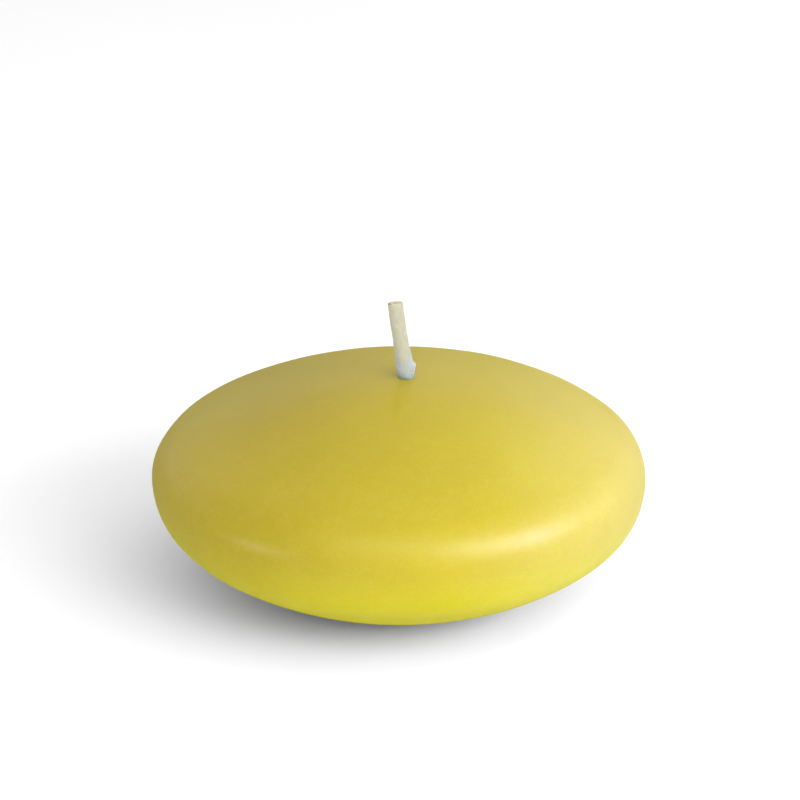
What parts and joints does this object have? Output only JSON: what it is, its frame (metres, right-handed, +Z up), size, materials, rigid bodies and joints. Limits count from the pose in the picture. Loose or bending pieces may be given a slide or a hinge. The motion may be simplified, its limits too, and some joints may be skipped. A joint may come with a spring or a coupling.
{
  "type": "floating candle",
  "caption": "Lens-shaped disc of coloured wax with a rounded rim and a small flat foot, pierced by a leaning waxed cotton wick held by a sunk metal sustainer.",
  "frame": {"origin": "middle of the round flat foot that the candle rests on, on the disc's own axis", "axes": "+Z up along the disc's axis; the wick leans towards -X; +Y points away from the picture's camera"},
  "size_m": [0.08, 0.08, 0.0479],
  "materials": {
    "coloured_wax": "pressed paraffin wax, coloured yellow, satin with a faint bloom",
    "waxed_cotton": "braided cotton, primed with wax, cream",
    "priming_wax": "thin translucent white wax",
    "tinned_steel": "tinned sheet steel, dull bright"
  },
  "bodies": {
    "root": {"wax_disc": "coloured_wax", "wick": "waxed_cotton", "wick_wax_collar": "priming_wax", "wick_sustainer": "tinned_steel"}
  },
  "joints": []
}
